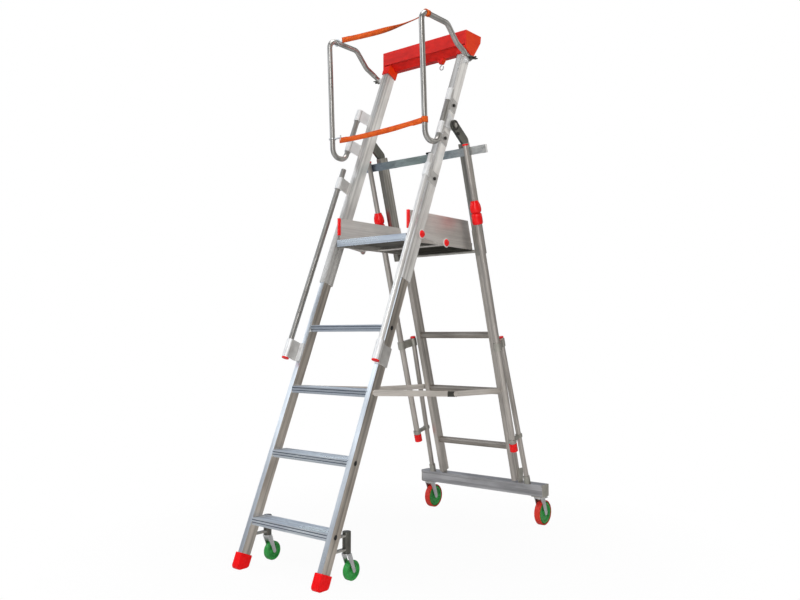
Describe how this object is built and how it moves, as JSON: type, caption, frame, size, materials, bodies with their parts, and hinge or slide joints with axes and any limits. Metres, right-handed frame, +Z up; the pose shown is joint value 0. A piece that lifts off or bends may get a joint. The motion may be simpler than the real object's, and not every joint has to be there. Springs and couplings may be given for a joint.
{
  "type": "picking ladder",
  "caption": "Telescopic orchard ladder with treads, a guarded standing platform, a fruit tray on top and a folding rear frame on a braked castor beam.",
  "frame": {"origin": "middle of the footprint on the floor", "axes": "+X to the right as seen from the front, +Y to the rear, +Z up"},
  "size_m": [0.8, 1.5752, 2.432],
  "materials": {
    "aluminium": "drawn aluminium section, lightly brushed along its length",
    "dull_aluminium": "dull cast and cut aluminium",
    "red_plastic": "moulded red plastic, satin",
    "red_tread": "red polyurethane tread",
    "green_plastic": "moulded green wheel",
    "orange_webbing": "woven orange webbing",
    "zinc_steel": "zinc-plated steel",
    "dark_metal": "dark cast or blackened metal",
    "black_plastic": "black moulded plastic"
  },
  "bodies": {
    "upper_front": {"upper_stile_left": "aluminium", "upper_stile_right": "aluminium", "fruit_tray": "red_plastic", "tray_hook": "zinc_steel", "handrails": "aluminium", "guard_loop_left": "aluminium", "guard_loop_right": "aluminium", "tube_brackets": "dull_aluminium", "rail_end_caps": "red_plastic", "bracket_bolts": "dark_metal", "strap_upper": "orange_webbing", "strap_lower": "orange_webbing", "strap_hooks": "zinc_steel", "hinge_plates": "dull_aluminium", "hinge_pins": "zinc_steel", "platform_pins": "red_plastic"},
    "wing_nut_left": {"wing_nut_left": "zinc_steel"},
    "wing_nut_right": {"wing_nut_right": "zinc_steel"},
    "lower_front": {"lower_stile_left": "aluminium", "lower_stile_right": "aluminium", "treads": "aluminium", "front_feet": "red_plastic", "castor_sockets": "dark_metal", "socket_brackets": "dull_aluminium"},
    "front_fork_left": {"front_fork_left": "zinc_steel"},
    "front_fork_right": {"front_fork_right": "zinc_steel"},
    "front_wheel_left": {"front_wheel_left": "green_plastic"},
    "front_wheel_right": {"front_wheel_right": "green_plastic"},
    "rear_upper": {"rear_post_left": "aluminium", "rear_post_right": "aluminium", "hinge_heads": "dark_metal", "rear_bar": "dull_aluminium", "guide_tubes": "aluminium", "guide_tube_caps": "red_plastic", "platform_rest": "dull_aluminium"},
    "bar_knob": {"bar_knob": "black_plastic"},
    "rear_lower": {"rear_stile_left": "aluminium", "rear_stile_right": "aluminium", "rungs": "aluminium", "sleeve_tubes": "aluminium", "brace_tubes": "aluminium", "tube_clamps": "red_plastic", "castor_beam": "aluminium", "beam_fittings": "dull_aluminium"},
    "collar_left": {"collar_left": "red_plastic"},
    "collar_right": {"collar_right": "red_plastic"},
    "rear_fork_left": {"rear_fork_left": "zinc_steel"},
    "rear_fork_right": {"rear_fork_right": "zinc_steel"},
    "rear_wheel_left": {"rear_wheel_left": "green_plastic", "rear_tyre_left": "red_tread"},
    "rear_wheel_right": {"rear_wheel_right": "green_plastic", "rear_tyre_right": "red_tread"},
    "brake_pedal_left": {"brake_pedal_left": "zinc_steel"},
    "brake_pedal_right": {"brake_pedal_right": "zinc_steel"},
    "platform": {"deck": "aluminium", "toe_boards": "aluminium", "platform_trims": "red_plastic", "platform_links": "dull_aluminium"},
    "stay_front": {"stay_front_links": "aluminium"},
    "stay_rear": {"stay_rear_links": "aluminium"}
  },
  "joints": [
    {"name": "front_extension", "type": "slide", "parent": "upper_front", "child": "lower_front", "axis": [0, -0.3827, -0.9239], "range_m": [0, 0.25]},
    {"name": "rear_extension", "type": "slide", "parent": "rear_upper", "child": "rear_lower", "axis": [0, 0.2723, -0.9622], "range_m": [0, 0.25]},
    {"name": "rear_fold", "type": "hinge", "parent": "upper_front", "child": "rear_upper", "pos_m": [0, 0.08254, 1.947], "axis": [-1, 0, 0], "range_deg": [0, 32]},
    {"name": "platform_fold", "type": "hinge", "parent": "upper_front", "child": "platform", "pos_m": [0, -0.15924, 1.414], "axis": [1, 0, 0], "range_deg": [0, 54.9]},
    {"name": "stay_front_turn", "type": "hinge", "parent": "lower_front", "child": "stay_front", "pos_m": [0, -0.45917, 0.731], "axis": [1, 0, 0], "range_deg": [0, 37.3]},
    {"name": "stay_rear_turn", "type": "hinge", "parent": "rear_lower", "child": "stay_rear", "pos_m": [0, 0.5348, 0.69], "axis": [-1, 0, 0], "range_deg": [0, 86.3]},
    {"name": "knob_turn", "type": "hinge", "parent": "rear_upper", "child": "bar_knob", "pos_m": [0.082, 0.13801, 1.84798], "axis": [0, -0.2723, 0.9622], "continuous": true},
    {"name": "wing_nut_left_turn", "type": "hinge", "parent": "upper_front", "child": "wing_nut_left", "pos_m": [-0.283, 0.18479, 2.288], "axis": [-1, 0, 0], "continuous": true},
    {"name": "collar_left_twist", "type": "hinge", "parent": "rear_lower", "child": "collar_left", "pos_m": [-0.302, 0.20345, 1.54326], "axis": [0, -0.2723, 0.9622], "range_deg": [0, 90]},
    {"name": "front_swivel_left", "type": "hinge", "parent": "lower_front", "child": "front_fork_left", "pos_m": [-0.233, -0.61093, 0.112], "axis": [0, 0, 1], "continuous": true},
    {"name": "front_roll_left", "type": "hinge", "parent": "front_fork_left", "child": "front_wheel_left", "pos_m": [-0.233, -0.58393, 0.04], "axis": [1, 0, 0], "continuous": true},
    {"name": "rear_swivel_left", "type": "hinge", "parent": "rear_lower", "child": "rear_fork_left", "pos_m": [-0.35, 0.69307, 0.1477], "axis": [0, 0, 1], "continuous": true},
    {"name": "rear_roll_left", "type": "hinge", "parent": "rear_fork_left", "child": "rear_wheel_left", "pos_m": [-0.35, 0.72507, 0.0625], "axis": [1, 0, 0], "continuous": true},
    {"name": "brake_left_press", "type": "hinge", "parent": "rear_fork_left", "child": "brake_pedal_left", "pos_m": [-0.35, 0.69907, 0.1327], "axis": [-1, 0, 0], "range_deg": [0, 8]},
    {"name": "wing_nut_right_turn", "type": "hinge", "parent": "upper_front", "child": "wing_nut_right", "pos_m": [0.283, 0.18479, 2.288], "axis": [1, 0, 0], "continuous": true},
    {"name": "collar_right_twist", "type": "hinge", "parent": "rear_lower", "child": "collar_right", "pos_m": [0.302, 0.20345, 1.54326], "axis": [0, -0.2723, 0.9622], "range_deg": [0, 90]},
    {"name": "front_swivel_right", "type": "hinge", "parent": "lower_front", "child": "front_fork_right", "pos_m": [0.233, -0.61093, 0.112], "axis": [0, 0, 1], "continuous": true},
    {"name": "front_roll_right", "type": "hinge", "parent": "front_fork_right", "child": "front_wheel_right", "pos_m": [0.233, -0.58393, 0.04], "axis": [1, 0, 0], "continuous": true},
    {"name": "rear_swivel_right", "type": "hinge", "parent": "rear_lower", "child": "rear_fork_right", "pos_m": [0.35, 0.69307, 0.1477], "axis": [0, 0, 1], "continuous": true},
    {"name": "rear_roll_right", "type": "hinge", "parent": "rear_fork_right", "child": "rear_wheel_right", "pos_m": [0.35, 0.72507, 0.0625], "axis": [1, 0, 0], "continuous": true},
    {"name": "brake_right_press", "type": "hinge", "parent": "rear_fork_right", "child": "brake_pedal_right", "pos_m": [0.35, 0.69907, 0.1327], "axis": [-1, 0, 0], "range_deg": [0, 8]}
  ],
  "couplings": [
    {"joint": "platform_fold", "follows": "rear_fold", "ratio": 1.7},
    {"joint": "stay_front_turn", "follows": "rear_fold", "ratio": 1.15},
    {"joint": "stay_rear_turn", "follows": "rear_fold", "ratio": 2.68}
  ]
}
